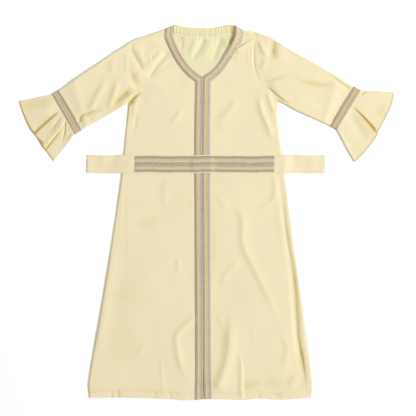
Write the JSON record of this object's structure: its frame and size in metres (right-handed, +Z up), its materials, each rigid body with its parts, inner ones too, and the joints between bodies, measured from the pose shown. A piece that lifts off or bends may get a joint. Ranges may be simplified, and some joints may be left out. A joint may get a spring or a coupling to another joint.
{
  "type": "abaya laid flat",
  "caption": "Long open-front abaya laid flat, with V neckline, flounced three-quarter sleeves, braid trim on neck, front and cuffs, and a loose braided belt across the waist.",
  "frame": {"origin": "centre of the back panel's underside, on the surface it lies on, on the centre line midway between shoulders and hem", "axes": "+Z up out of the surface the garment lies on, +Y from the hem to the neck, +X to the wearer's left"},
  "size_m": [1.3916, 1.3875, 0.0117],
  "materials": {
    "crepe": "matt crepe",
    "braid": "metallic thread braid"
  },
  "bodies": {
    "root": {"back": "crepe", "back_neck_casing": "crepe", "front_right": "crepe", "front_left": "crepe", "sleeve_right": "crepe", "sleeve_left": "crepe", "flounce_right": "crepe", "flounce_left": "crepe", "belt": "crepe", "braid_front_right": "braid", "braid_front_left": "braid", "braid_cuff_right": "braid", "braid_cuff_left": "braid", "braid_belt_upper": "braid", "braid_belt_lower": "braid"}
  },
  "joints": []
}
